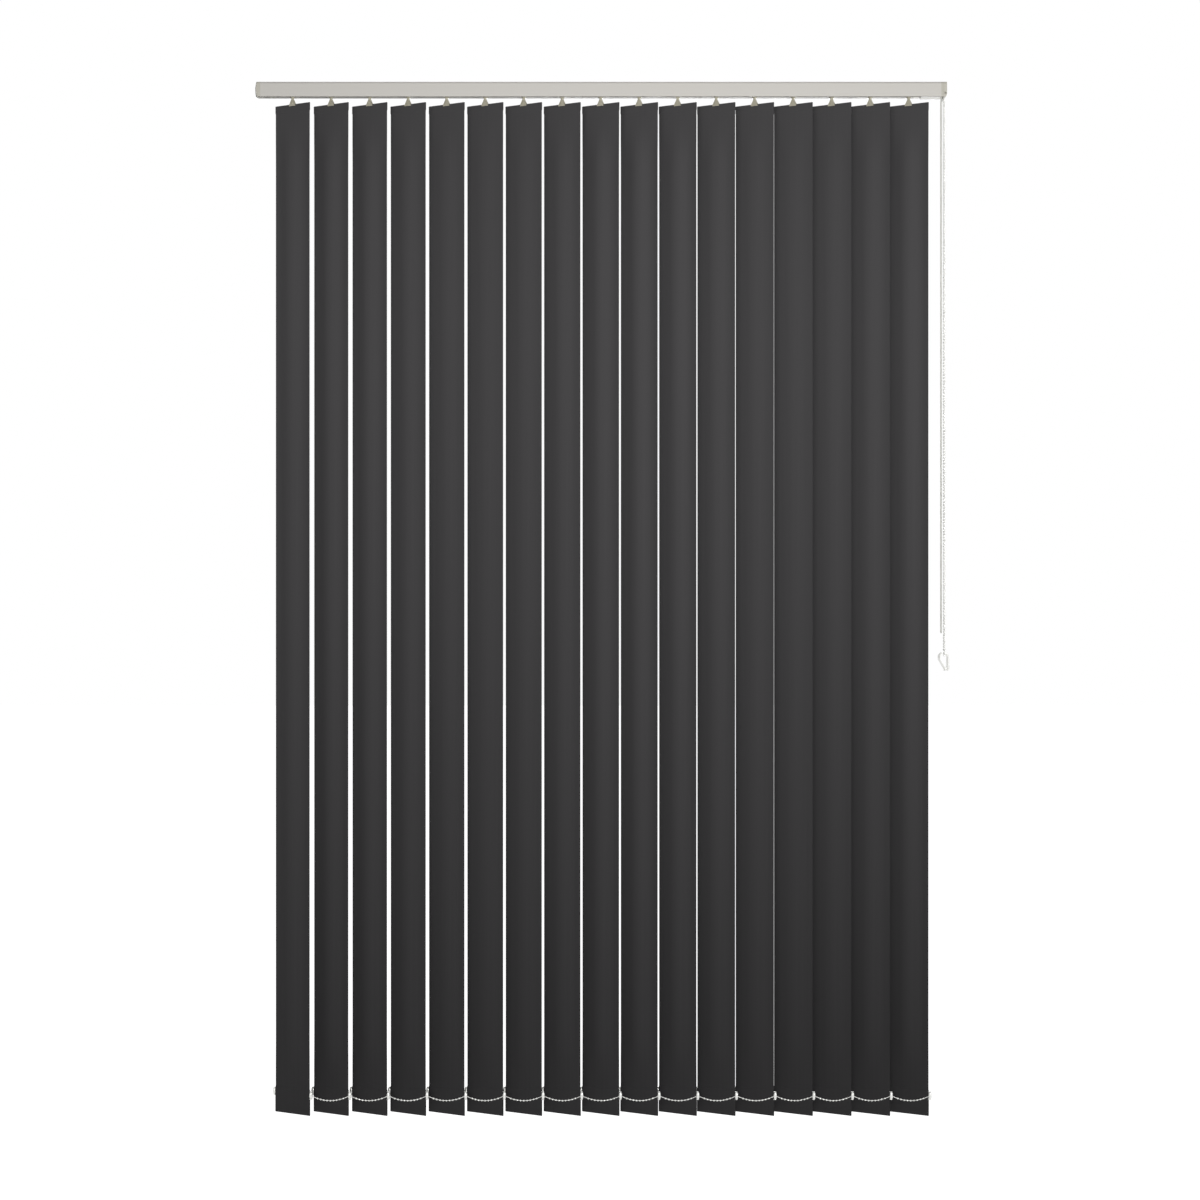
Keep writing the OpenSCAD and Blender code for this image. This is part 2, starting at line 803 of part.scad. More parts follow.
// The control housing seen from above: a block with two round outer corners
module housing_plan() {
    inner = control_face - housing_corner;
    area([rail_end, -rail_half], [inner, rail_half]);
    area([rail_end, -rail_half + housing_corner], [control_face, rail_half - housing_corner]);
    for (side = [-1, 1])
        translate([inner, side * (rail_half - housing_corner)])
            circle(r = housing_corner);
}

// The outer block of the control housing, down to the cover's underside
module housing_block() {
    intersection() {
        along_x(rail_end, control_face) {
            rail_outline();
            area([-rail_half + 2 * rail_wall, cover_bottom], [rail_half, rail_bottom]);
        }
        translate([0, 0, skirt_bottom - overrun])
            linear_extrude(height = rail_top - skirt_bottom + 2 * overrun)
                housing_plan();
    }
}

// The chamber in which the chain runs over its wheel, open at the bottom
module chain_chamber() {
    half = chain_chamber_width / 2;
    translate([0, rod_y, rod_z])
        bar_x(chain_x - half, chain_x + half, chain_chamber_r);
    block([chain_x - half, rod_y - chain_chamber_r, skirt_bottom - overrun],
        [chain_x + half, rod_y + chain_chamber_r, rod_z]);
}

// What is cut from the block: chamber, cord holes, window, collar groove and end chamfer
module housing_cuts() {
    window_z = rail_top - window_drop;
    groove = [rail_end, -rail_half - overrun, skirt_bottom - overrun];
    hole_top = rail_bottom + cord_hole_rise;
    chain_chamber();
    for (y = cord_falls)
        translate([cord_x, y, cover_bottom - overrun])
            cylinder(r = cord_r + hole_room, h = hole_top - cover_bottom + overrun);
    block([chain_x - window_width / 2, -rail_half - overrun, window_z - window_height],
        [chain_x + window_width / 2, -rail_half + window_depth, window_z]);
    block(groove, [rail_end + collar_groove, -rail_half + groove_depth, rail_top - rail_corner]);
    across_y(rail_depth + 2 * overrun)
        polygon([[control_face + overrun, skirt_bottom + chamfer_rise],
            [control_face, skirt_bottom + chamfer_rise],
            [control_face - chamfer_run, skirt_bottom - overrun],
            [control_face + overrun, skirt_bottom - overrun]]);
}

// The control housing: the block, a nose that carries the last vane, a key and a cover
module control_housing() {
    x = stem_x(vane_count);
    from = x - carrier_length / 2;
    key_start = x + carrier_length / 2;
    color("silver") {
        difference() {
            union() {
                housing_block();
                along_x(from, rail_end + overrun)
                    carrier_section();
                along_x(rail_end - nose_length, rail_end + overrun)
                    nose_section();
                key(key_start, key_start + key_length);
                along_x(rail_end - cover_length, rail_end + overrun)
                    area([-rail_half + 2 * rail_wall + cover_gap, cover_bottom],
                        [rail_half, rail_bottom]);
            }
            housing_cuts();
            station_cuts(x);
            translate([0, rod_y, rod_z]) {
                bar_x(from - overrun, rail_end, rod_r + run_gap);
                bar_x(rail_end - overrun, chain_x, rod_r + shaft_gap);
            }
        }
        worm(x);
    }
}

// A round tube along a route that lies in one plane of X
module plane_tube(route, r) {
    last = len(route) - 1;
    function tangent(k) = route[min(k + 1, last)] - route[max(k - 1, 0)];
    function ring(k) =
        let (t = tangent(k) / norm(tangent(k)))
        let (side = [0, -t[2], t[1]])
        [for (s = [0 : cord_sides - 1]) let (a = 360 * s / cord_sides)
            route[k] + r * (cos(a) * [1, 0, 0] + sin(a) * side)];
    points = [for (k = [0 : last]) each ring(k)];
    walls = [for (k = [0 : last - 1], s = [0 : cord_sides - 1])
        let (a = k * cord_sides + s)
        let (b = k * cord_sides + (s + 1) % cord_sides)
        each [[a, a + cord_sides, b], [b, a + cord_sides, b + cord_sides]]];
    start = [for (s = [0 : cord_sides - 1]) s];
    finish = [for (s = [cord_sides - 1 : -1 : 0]) last * cord_sides + s];
    polyhedron(points = points, faces = concat(walls, [start, finish]));
}

module tilt_chain() {
    color("white")
        plane_tube(tilt_route, tilt_bead_r);
}

module traverse_cord() {
    color("lightgray")
        plane_tube(traverse_route, cord_r);
}

// The strap of the cord clip: a loop, a straight side and a slanting side that end in two tabs
module strap_outline() {
    mean_r = loop_r - strap / 2;
    foot = loop_r - loop_height;
    left_tab = loop_r - strap - tab_gap;
    slant = [-sin(slant_angle), cos(slant_angle)];
    start = mean_r * [cos(slant_angle), sin(slant_angle)];
    slant_length = (left_tab - strap / 2 - start[0]) / slant[0];
    difference() {
        circle(r = loop_r);
        circle(r = loop_r - strap);
        polygon([[0, 0], 2 * loop_r * [cos(slant_angle), sin(slant_angle)],
            [0, -2 * loop_r], [2 * loop_r, -2 * loop_r], [2 * loop_r, 0]]);
    }
    area([loop_r - strap, foot], [loop_r, 0]);
    translate(start)
        rotate(slant_angle + 90)
            area([0, -strap / 2], [slant_length + strap / 2, strap / 2]);
    area([left_tab - strap, foot], [left_tab, foot + tab_height]);
}

// The cord clip, hung on the tilt chain's lower bend and turned a little on it
module cord_clip() {
    top = chain_bend[2] - strap_seat + strap;
    foot = loop_r - loop_height;
    color("white")
        translate([chain_bend[0], chain_bend[1], top - loop_r])
            rotate([0, 0, clip_turn])
                difference() {
                    across_y(strap_width)
                        strap_outline();
                    translate([0, 0, foot + tab_height / 2])
                        bar_x(loop_r - 2 * strap - tab_gap - overrun, loop_r + overrun, tab_screw_r);
                }
}

headrail();
idle_end_cap();
control_housing();
mounting_clips();
tilt_rod();
tilt_chain();
traverse_cord();
cord_clip();
front_bottom_chain();
back_bottom_chain();
for (i = [1 : vane_count - 1])
    carrier(i);
for (i = stations)
    hook(i);
for (i = stations)
    vane(i);
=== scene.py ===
"""Looks of a vertical blind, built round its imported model.

X runs along the headrail, -Y faces the room and +Z is up. Blender works in metres. The blind's
sizes here are in millimetres, and Shell.build() turns them to metres. The studio's are in metres.
"""

import logging
import math
from abc import ABC, abstractmethod
from dataclasses import dataclass
from enum import Enum

import bmesh
import bpy
import numpy as np
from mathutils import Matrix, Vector


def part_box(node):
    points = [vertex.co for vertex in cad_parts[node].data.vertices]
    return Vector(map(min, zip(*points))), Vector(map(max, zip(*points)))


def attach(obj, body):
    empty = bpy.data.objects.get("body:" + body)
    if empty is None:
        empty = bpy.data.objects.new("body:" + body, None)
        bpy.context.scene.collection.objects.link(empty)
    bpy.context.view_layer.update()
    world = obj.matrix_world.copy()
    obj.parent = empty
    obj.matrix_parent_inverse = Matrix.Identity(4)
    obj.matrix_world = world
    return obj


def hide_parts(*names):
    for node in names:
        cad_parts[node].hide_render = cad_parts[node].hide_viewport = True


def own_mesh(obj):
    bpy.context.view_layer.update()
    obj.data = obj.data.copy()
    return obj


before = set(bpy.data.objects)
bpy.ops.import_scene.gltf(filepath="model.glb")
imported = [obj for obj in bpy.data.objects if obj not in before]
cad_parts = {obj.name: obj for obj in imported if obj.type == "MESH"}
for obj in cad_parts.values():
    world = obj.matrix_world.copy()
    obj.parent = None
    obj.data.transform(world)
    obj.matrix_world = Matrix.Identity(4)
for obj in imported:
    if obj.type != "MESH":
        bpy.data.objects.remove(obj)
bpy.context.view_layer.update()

LOG = logging.getLogger("vertical_blind")
MM = 0.001
# Points closer than this are one point, in metres
MERGE_DISTANCE = 2e-6
# Edges sharper than this stay sharp when the faces beside them are shaded smooth
SHARP_ANGLE = math.radians(35)
# Points round the quarter circle of a rim
RIM_POINTS = 4
# Steps of a bead from pole to pole, and round it
BEAD_STEPS = (6, 10)
ALONG_X = np.array([1.0, 0.0, 0.0])
ALONG_Y = np.array([0.0, 1.0, 0.0])


class Slot(Enum):
    """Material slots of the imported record."""

    RAIL = "rail_aluminium"
    ENDS = "end_plastic"
    CLIP_STEEL = "clip_steel"
    ROD = "rod_aluminium"
    CARRIER = "carrier_plastic"
    HOOK = "hook_plastic"
    FABRIC = "vane_fabric"
    CHAIN = "chain_plastic"
    CORD = "cord_braid"


class Side(Enum):
    """The two long edges of a vane: the near one carries the front chain."""

    FRONT = 1
    BACK = -1


def linear(hex_colour: str) -> tuple[float, float, float, float]:
    """Turns an sRGB colour such as "#808080" to linear RGBA.

    Args:
        hex_colour: six hex digits after a hash.

    Returns:
        Red, green, blue and an alpha of 1.
    """
    srgb = [int(hex_colour[k:k + 2], 16) / 255 for k in (1, 3, 5)]
    low = [c / 12.92 if c <= 0.04045 else ((c + 0.055) / 1.055) ** 2.4 for c in srgb]
    return (low[0], low[1], low[2], 1.0)


def add_node(tree: bpy.types.NodeTree, kind: str, values: dict, links: dict) -> bpy.types.Node:
    """Adds a node with its settings and links.

    Args:
        tree: node tree that gets the node.
        kind: the node's type, without the word ShaderNode before it.
        values: a property's name, or an input's name or number, and its value.
        links: an input's name or number, and the output socket that feeds it.

    Returns:
        The new node.
    """
    node = tree.nodes.new("ShaderNode" + kind)
    for key, value in values.items():
        if isinstance(key, str) and hasattr(node, key):
            setattr(node, key, value)
        else:
            node.inputs[key].default_value = value
    for key, socket in links.items():
        tree.links.new(socket, node.inputs[key])
    return node


class Shell:
    """Grids of points in millimetres, gathered into one mesh."""

    def __init__(self) -> None:
        """Starts with no points."""
        self._points: list[np.ndarray] = []
        self._quads: list[np.ndarray] = []
        self._uvs: list[np.ndarray] = []
        self._count = 0

    def add(self, grid: np.ndarray, uv: np.ndarray | None = None) -> None:
        """Adds one grid of points, or several of one size.

        Args:
            grid: points shaped (rows, columns, 3) or (copies, rows, columns, 3).
            uv: coordinates on the surface in millimetres, shaped alike but with 2 values.
        """
        grid = grid if grid.ndim == 4 else grid[None]
        shape = grid.shape[:3]
        index = np.arange(math.prod(shape)).reshape(shape) + self._count
        corners = (index[:, :-1, :-1], index[:, :-1, 1:], index[:, 1:, 1:], index[:, 1:, :-1])
        self._points.append(grid.reshape(-1, 3))
        self._quads.append(np.stack(corners, axis=-1).reshape(-1, 4))
        flat = np.zeros((math.prod(shape), 2)) if uv is None else uv.reshape(-1, 2)
        self._uvs.append(flat)
        self._count += math.prod(shape)

    def build(self, name: str) -> bpy.types.Object:
        """Makes the mesh: seams and poles are closed, and faces point outwards.

        Args:
            name: name of the new object.

        Returns:
            The object, in the scene, with its place in its mesh.
        """
        quads = np.concatenate(self._quads)
        mesh = bpy.data.meshes.new(name)
        mesh.from_pydata((np.concatenate(self._points) * MM).tolist(), [], quads.tolist())
        corner_uvs = np.concatenate(self._uvs)[quads.ravel()] * MM
        mesh.uv_layers.new(name="surface").data.foreach_set("uv", corner_uvs.ravel())
        work = bmesh.new()
        work.from_mesh(mesh)
        bmesh.ops.remove_doubles(work, verts=work.verts[:], dist=MERGE_DISTANCE)
        bmesh.ops.recalc_face_normals(work, faces=work.faces[:])
        work.to_mesh(mesh)
        work.free()
        mesh.polygons.foreach_set("use_smooth", np.ones(len(mesh.polygons), bool))
        mesh.set_sharp_from_angle(angle=SHARP_ANGLE)
        made = bpy.data.objects.new(name, mesh)
        bpy.context.scene.collection.objects.link(made)
        return made


def ease(t: np.ndarray) -> np.ndarray:
    """A smooth step from 0 to 1 as t goes from 0 to 1: 3t² - 2t³."""
    t = np.clip(t, 0, 1)
    return t * t * (3 - 2 * t)


def revolve(profile: np.ndarray, steps: int) -> np.ndarray:
    """Turns a profile of radius and height about Z: (r cos a, r sin a, z).

    Args:
        profile: points of radius and height, shaped (rows, 2).
        steps: number of steps in a full turn.

    Returns:
        A grid shaped (rows, steps + 1, 3).
    """
    angle = np.linspace(0, 2 * np.pi, steps + 1)
    radius, height = profile[:, :1], profile[:, 1:]
    return np.stack(np.broadcast_arrays(
        radius * np.cos(angle), radius * np.sin(angle), height), axis=-1)


def ball(radius: float, rows: int, steps: int) -> np.ndarray:
    """A ball as a half circle turned about Z.

    Args:
        radius: radius of the ball.
        rows: number of steps from pole to pole.
        steps: number of steps round it.

    Returns:
        A grid shaped (rows + 1, steps + 1, 3).
    """
    polar = np.linspace(0, np.pi, rows + 1)
    return revolve(radius * np.stack([np.sin(polar), -np.cos(polar)], axis=-1), steps)


def distances(path: np.ndarray) -> np.ndarray:
    """Distance of each point of a path from its first point, along the path."""
    return np.concatenate([[0], np.cumsum(np.linalg.norm(np.diff(path, axis=0), axis=1))])


def tube(path: np.ndarray, radius: np.ndarray | float, flat_axis: np.ndarray,
         sides: int) -> tuple[np.ndarray, np.ndarray]:
    """A round section carried along a path that lies in one plane.

    Each ring is path + r (cos a · side + sin a · flat_axis), where side is square to the path.

    Args:
        path: points along the middle, shaped (n, 3).
        radius: one radius, or radii shaped (n, sides + 1).
        flat_axis: unit vector square to the path's plane.
        sides: number of sides of the section.

    Returns:
        A grid shaped (n, sides + 1, 3), and its coordinates round and along.
    """
    along = np.gradient(path, axis=0)
    along /= np.linalg.norm(along, axis=1, keepdims=True)
    side = np.cross(flat_axis, along)
    angle = np.linspace(0, 2 * np.pi, sides + 1)
    turn = np.cos(angle)[None, :, None] * side[:, None] + np.sin(angle)[None, :, None] * flat_axis
    reach = np.broadcast_to(np.asarray(radius, float), (len(path), sides + 1))
    uv = np.stack(np.meshgrid(angle * reach.mean(), distances(path)), axis=-1)
    return path[:, None] + reach[..., None] * turn, uv


def plate(outline: np.ndarray, thickness: float, edge: float) -> np.ndarray:
    """A flat plate in the XZ plane with rounded rims, star-shaped about its middle.

    Rings go from the middle of one face over the rim to the middle of the other. A ring at a rim
    angle a lies edge · (1 - sin a) inside the outline and is moved out of the middle plane by
    thickness/2 - edge · (1 - cos a), towards the face that it belongs to.

    Args:
        outline: points of the outline, shaped (n, 2).
        thickness: thickness of the plate.
        edge: radius of its rims.

    Returns:
        A grid of rings, shaped (rows, n + 1, 3).
    """
    loop = np.concatenate([outline, outline[:1]])
    middle = outline.mean(axis=0)
    ahead = np.roll(outline, -1, axis=0) - np.roll(outline, 1, axis=0)
    ahead /= np.linalg.norm(ahead, axis=1, keepdims=True)
    inward = np.stack([-ahead[:, 1], ahead[:, 0]], axis=-1)
    inward *= np.sign(((middle - outline) * inward).sum(axis=1, keepdims=True))
    inward = np.concatenate([inward, inward[:1]])
    rim = np.linspace(0, np.pi / 2, RIM_POINTS)
    inset = edge * (1 - np.sin(rim))
    depth = thickness / 2 - edge * (1 - np.cos(rim))
    inset = np.concatenate([inset, inset[::-1]])
    depth = np.concatenate([-depth, depth[::-1]])
    rings = loop[None] + inset[:, None, None] * inward[None]
    rings = np.concatenate([np.broadcast_to(middle, rings[:1].shape), rings,
                            np.broadcast_to(middle, rings[:1].shape)])
    depth = np.concatenate([depth[:1], depth, depth[-1:]])
    across = np.broadcast_to(depth[:, None], rings.shape[:2])
    return np.stack([rings[..., 0], across, rings[..., 1]], axis=-1)


def resample(path: np.ndarray, places: np.ndarray) -> np.ndarray:
    """Points of a path at given distances along it.

    Args:
        path: points of the path, shaped (n, 3).
        places: distances from its first point.

    Returns:
        Points shaped (len(places), 3).
    """
    run = distances(path)
    return np.stack([np.interp(places, run, path[:, k]) for k in range(3)], axis=-1)


def path_length(path: np.ndarray) -> float:
    """Length of a path of points."""
    return float(np.linalg.norm(np.diff(path, axis=0), axis=1).sum())


@dataclass(frozen=True)
class Finish(ABC):
    """A surface that a material gives: a name, a colour and a gloss."""

    name: str
    colour: str
    roughness: float

    @abstractmethod
    def material(self) -> bpy.types.Material:
        """Makes the material."""

    def start(self) -> tuple[bpy.types.Material, bpy.types.NodeTree, bpy.types.Node]:
        """Makes a material with one Principled surface, and returns it with its tree and surface."""
        made = bpy.data.materials.new(self.name)
        made.use_nodes = True
        surface = made.node_tree.nodes["Principled BSDF"]
        surface.inputs["Base Color"].default_value = linear(self.colour)
        surface.inputs["Roughness"].default_value = self.roughness
        return made, made.node_tree, surface

    @staticmethod
    def blend(tree: bpy.types.NodeTree, surface: bpy.types.Node, pattern: bpy.types.NodeSocket,
              low: tuple[float, str], high: tuple[float, str]) -> bpy.types.NodeSocket:
        """Colours a surface by a pattern, from one colour to another.

        Args:
            tree: the material's nodes.
            surface: its Principled surface.
            pattern: the socket that gives the pattern.
            low: value of the pattern up to which the first colour holds, and that colour.
            high: value from which the second colour holds, and that colour.

        Returns:
            The socket that gives the mixed colour.
        """
        ramp = add_node(tree, "ValToRGB", {}, {"Fac": pattern})
        for index, (position, colour) in enumerate((low, high)):
            ramp.color_ramp.elements[index].position = position
            ramp.color_ramp.elements[index].color = linear(colour)
        tree.links.new(ramp.outputs["Color"], surface.inputs["Base Color"])
        return ramp.outputs["Color"]

    @staticmethod
    def emboss(tree: bpy.types.NodeTree, surface: bpy.types.Node, pattern: bpy.types.NodeSocket,
               strength: float, depth: float) -> None:
        """Lets a pattern stand out in relief.

        Args:
            tree: the material's nodes.
            surface: its Principled surface.
            pattern: the socket that gives the pattern.
            strength: strength of the relief.
            depth: its depth in millimetres.
        """
        relief = add_node(tree, "Bump", {"Strength": strength, "Distance": depth * MM},
                          {"Height": pattern})
        tree.links.new(relief.outputs["Normal"], surface.inputs["Normal"])


@dataclass(frozen=True)
class WovenFabric(Finish):
    """Spun polyester, closely woven and coated: dull, with faint lengthwise streaks."""

    streak_colour: str
    streak_width: float
    thread: float
    specular: float = 0.06
    sheen: float = 0.01
    sheen_roughness: float = 0.6
    # A streak's length, in widths
    streak_length: float = 90.0
    weave_strength: float = 0.25
    weave_depth: float = 0.1

    def material(self) -> bpy.types.Material:
        """Makes the cloth's material on the vane's own coordinates, which run across and along.

        Returns:
            The material.
        """
        made, tree, surface = self.start()
        surface.inputs["Specular IOR Level"].default_value = self.specular
        surface.inputs["Sheen Weight"].default_value = self.sheen
        surface.inputs["Sheen Roughness"].default_value = self.sheen_roughness
        place = add_node(tree, "TexCoord", {}, {})
        # Uneven yarns show as streaks some millimetres wide and decimetres long
        across = 1 / (self.streak_width * MM)
        stretch = add_node(tree, "Mapping", {"Scale": (across, across / self.streak_length, 1)},
                           {"Vector": place.outputs["UV"]})
        streak = add_node(tree, "TexNoise", {"Scale": 1.0, "Detail": 3.0, "Roughness": 0.6},
                          {"Vector": stretch.outputs["Vector"]})
        self.blend(tree, surface, streak.outputs["Fac"], low=(0.3, self.colour),
                   high=(0.7, self.streak_colour))
        # Warp and weft cross as two sets of ridges, drawn about twice as coarse as the real
        # threads so that they show
        ridge = math.pi / (self.thread * MM)
        weave = add_node(tree, "Mapping", {"Scale": (ridge, ridge, 1)},
                         {"Vector": place.outputs["UV"]})
        split = add_node(tree, "SeparateXYZ", {}, {"Vector": weave.outputs["Vector"]})
        warp = add_node(tree, "Math", {"operation": "SINE"}, {0: split.outputs["X"]})
        weft = add_node(tree, "Math", {"operation": "SINE"}, {0: split.outputs["Y"]})
        cross = add_node(tree, "Math", {"operation": "MULTIPLY"},
                         {0: warp.outputs[0], 1: weft.outputs[0]})
        self.emboss(tree, surface, cross.outputs[0], self.weave_strength, self.weave_depth)
        return made


@dataclass(frozen=True)
class LacqueredAluminium(Finish):
    """Extruded aluminium under a satin silver lacquer: soft gloss, faint lines along the rail."""

    line_width: float
    specular: float = 0.25
    # A die line's length, in widths
    line_length: float = 400.0
    line_strength: float = 0.1
    line_depth: float = 0.05
    # How far the roughness strays to both sides
    gloss_stray: float = 0.05

    def material(self) -> bpy.types.Material:
        """Makes the material, with die lines that run along X.

        Returns:
            The material.
        """
        made, tree, surface = self.start()
        surface.inputs["Specular IOR Level"].default_value = self.specular
        place = add_node(tree, "TexCoord", {}, {})
        across = 1 / (self.line_width * MM)
        stretch = add_node(tree, "Mapping", {"Scale": (across / self.line_length, across, across)},
                           {"Vector": place.outputs["Object"]})
        lines = add_node(tree, "TexNoise", {"Scale": 1.0, "Detail": 2.0},
                         {"Vector": stretch.outputs["Vector"]})
        gloss = add_node(tree, "MapRange", {"To Min": self.roughness - self.gloss_stray,
                                            "To Max": self.roughness + self.gloss_stray},
                         {"Value": lines.outputs["Fac"]})
        tree.links.new(gloss.outputs["Result"], surface.inputs["Roughness"])
        self.emboss(tree, surface, lines.outputs["Fac"], self.line_strength, self.line_depth)
        return made


@dataclass(frozen=True)
class MouldedPlastic(Finish):
    """Injection-moulded plastic: even colour with a slight cloud, and a fine spark-eroded grain."""

    cloud_colour: str
    grain: float
    grain_strength: float
    # Share of the surface that pearl pigment covers, whose flakes reflect as metal does
    pearl: float = 0.0
    refraction: float = 1.49
    clouds_per_metre: float = 60.0
    grain_depth: float = 0.05

    def material(self) -> bpy.types.Material:
        """Makes the material on Object coordinates.

        Returns:
            The material.
        """
        made, tree, surface = self.start()
        surface.inputs["IOR"].default_value = self.refraction
        surface.inputs["Metallic"].default_value = self.pearl
        place = add_node(tree, "TexCoord", {}, {})
        cloud = add_node(tree, "TexNoise", {"Scale": self.clouds_per_metre, "Detail": 2.0},
                         {"Vector": place.outputs["Object"]})
        self.blend(tree, surface, cloud.outputs["Fac"], low=(0.35, self.colour),
                   high=(0.65, self.cloud_colour))
        grain = add_node(tree, "TexNoise", {"Scale": 1 / (self.grain * MM), "Detail": 1.0},
                         {"Vector": place.outputs["Object"]})
        self.emboss(tree, surface, grain.outputs["Fac"], self.grain_strength, self.grain_depth)
        return made


@dataclass(frozen=True)
class PlainMetal(Finish):
    """Drawn or zinc-plated metal: bright, with a mottled gloss."""

    mottle: float
    # How far the roughness strays down and up
    gloss_stray: tuple[float, float] = (0.1, 0.12)

    def material(self) -> bpy.types.Material:
        """Makes the material, with a gloss that varies over a few millimetres.

        Returns:
            The material.
        """
        made, tree, surface = self.start()
        surface.inputs["Metallic"].default_value = 1.0
        place = add_node(tree, "TexCoord", {}, {})
        patches = add_node(tree, "TexNoise", {"Scale": 1 / (self.mottle * MM), "Detail": 3.0},
                           {"Vector": place.outputs["Object"]})
        down, up = self.gloss_stray
        gloss = add_node(tree, "MapRange",
                         {"To Min": self.roughness - down, "To Max": self.roughness + up},
                         {"Value": patches.outputs["Fac"]})
        tree.links.new(gloss.outputs["Result"], surface.inputs["Roughness"])
        return made


@dataclass(frozen=True)
class BraidedCord(Finish):
    """Braided polyester cord: dull, with painted shade in the grooves between its strands."""

    # Colour of the painted shade in the grooves between the strands
    groove_shade_colour: str
    strand: float
    # Share of the light that passes between the filaments
    openness: float
    specular: float = 0.3
    strand_strength: float = 0.4
    strand_depth: float = 0.15

    def material(self) -> bpy.types.Material:
        """Makes the material on the cord's own coordinates, round and along it.

        Returns:
            The material.
        """
        made, tree, surface = self.start()
        surface.inputs["Specular IOR Level"].default_value = self.specular
        place = add_node(tree, "TexCoord", {}, {})
        turn = math.pi / (self.strand * MM)
        lay = add_node(tree, "Mapping", {"Scale": (turn, turn, 1)}, {"Vector": place.outputs["UV"]})
        split = add_node(tree, "SeparateXYZ", {}, {"Vector": lay.outputs["Vector"]})
        left = add_node(tree, "Math", {"operation": "ADD"},
                        {0: split.outputs["X"], 1: split.outputs["Y"]})
        right = add_node(tree, "Math", {"operation": "SUBTRACT"},
                         {0: split.outputs["X"], 1: split.outputs["Y"]})
        over = add_node(tree, "Math", {"operation": "SINE"}, {0: left.outputs[0]})
        under = add_node(tree, "Math", {"operation": "SINE"}, {0: right.outputs[0]})
        cross = add_node(tree, "Math", {"operation": "MULTIPLY"},
                         {0: over.outputs[0], 1: under.outputs[0]})
        # Painted shade: the grooves between the strands take a darker colour
        shade = self.blend(tree, surface, cross.outputs[0], low=(0.0, self.groove_shade_colour),
                           high=(0.5, self.colour))
        self.emboss(tree, surface, cross.outputs[0], self.strand_strength, self.strand_depth)
        # Loose filaments let part of the light through
        through = add_node(tree, "BsdfTranslucent", {}, {"Color": shade})
        both = add_node(tree, "MixShader", {"Fac": self.openness},
                        {1: surface.outputs["BSDF"], 2: through.outputs["BSDF"]})
        tree.links.new(both.outputs["Shader"], tree.nodes["Material Output"].inputs["Surface"])
        return made


FINISHES: dict[Slot, Finish] = {
    Slot.RAIL: LacqueredAluminium("satin_lacquered_aluminium", "#ccc9c3", roughness=0.45,
                                  line_width=1.2),
    Slot.ENDS: MouldedPlastic("moulded_grey_abs", "#bfbcb1", roughness=0.45,
                              cloud_colour="#bab7ab", grain=0.6, grain_strength=0.12),
    Slot.CLIP_STEEL: PlainMetal("zinc_plated_spring_steel", "#c9cacb", roughness=0.32, mottle=4.0),
    Slot.ROD: PlainMetal("drawn_aluminium_rod", "#cfd0d2", roughness=0.3, mottle=6.0),
    Slot.CARRIER: MouldedPlastic("moulded_white_acetal", "#e4e2da", roughness=0.38,
                                 cloud_colour="#dfddd4", grain=0.8, grain_strength=0.08),
    Slot.HOOK: MouldedPlastic("moulded_beige_acetal", "#c0bba8", roughness=0.3,
                              cloud_colour="#b9b4a0", grain=0.8, grain_strength=0.06),
    Slot.FABRIC: WovenFabric("coated_charcoal_weave", "#504f50", roughness=0.82,
                             streak_colour="#525152", streak_width=6.0, thread=1.6),
    Slot.CHAIN: MouldedPlastic("moulded_pearl_white_plastic", "#f6f6f3", roughness=0.3,
                               cloud_colour="#f2f2ee", grain=0.8, grain_strength=0.05, pearl=0.62),
    # The cord's second, darker colour is painted shade for the grooves between its strands
    Slot.CORD: BraidedCord("braided_polyester_cord", "#f4f4f0", roughness=0.75,
                           groove_shade_colour="#e6e6e2", strand=1.1, openness=0.6),
}


class Wardrobe:
    """Makes each material once, and dresses pieces and nodes with it."""

    def __init__(self) -> None:
        """Starts with no material made."""
        self._made: dict[Slot, bpy.types.Material] = {}

    def dress(self, piece: bpy.types.Object, slot: Slot) -> None:
        """Gives a piece the material of a slot.

        Args:
            piece: mesh to dress.
            slot: the record's slot.
        """
        if slot not in self._made:
            self._made[slot] = FINISHES[slot].material()
        piece.data.materials.clear()
        piece.data.materials.append(self._made[slot])

    def add(self, piece: bpy.types.Object, slot: Slot, body: str) -> None:
        """Dresses a new piece in the material of a slot and lets it ride on a body.

        Args:
            piece: the new piece, in place.
            slot: the record's slot.
            body: name of the body that carries it.
        """
        self.dress(piece, slot)
        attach(piece, body)
        LOG.info("%s rides on %s", piece.name, body)


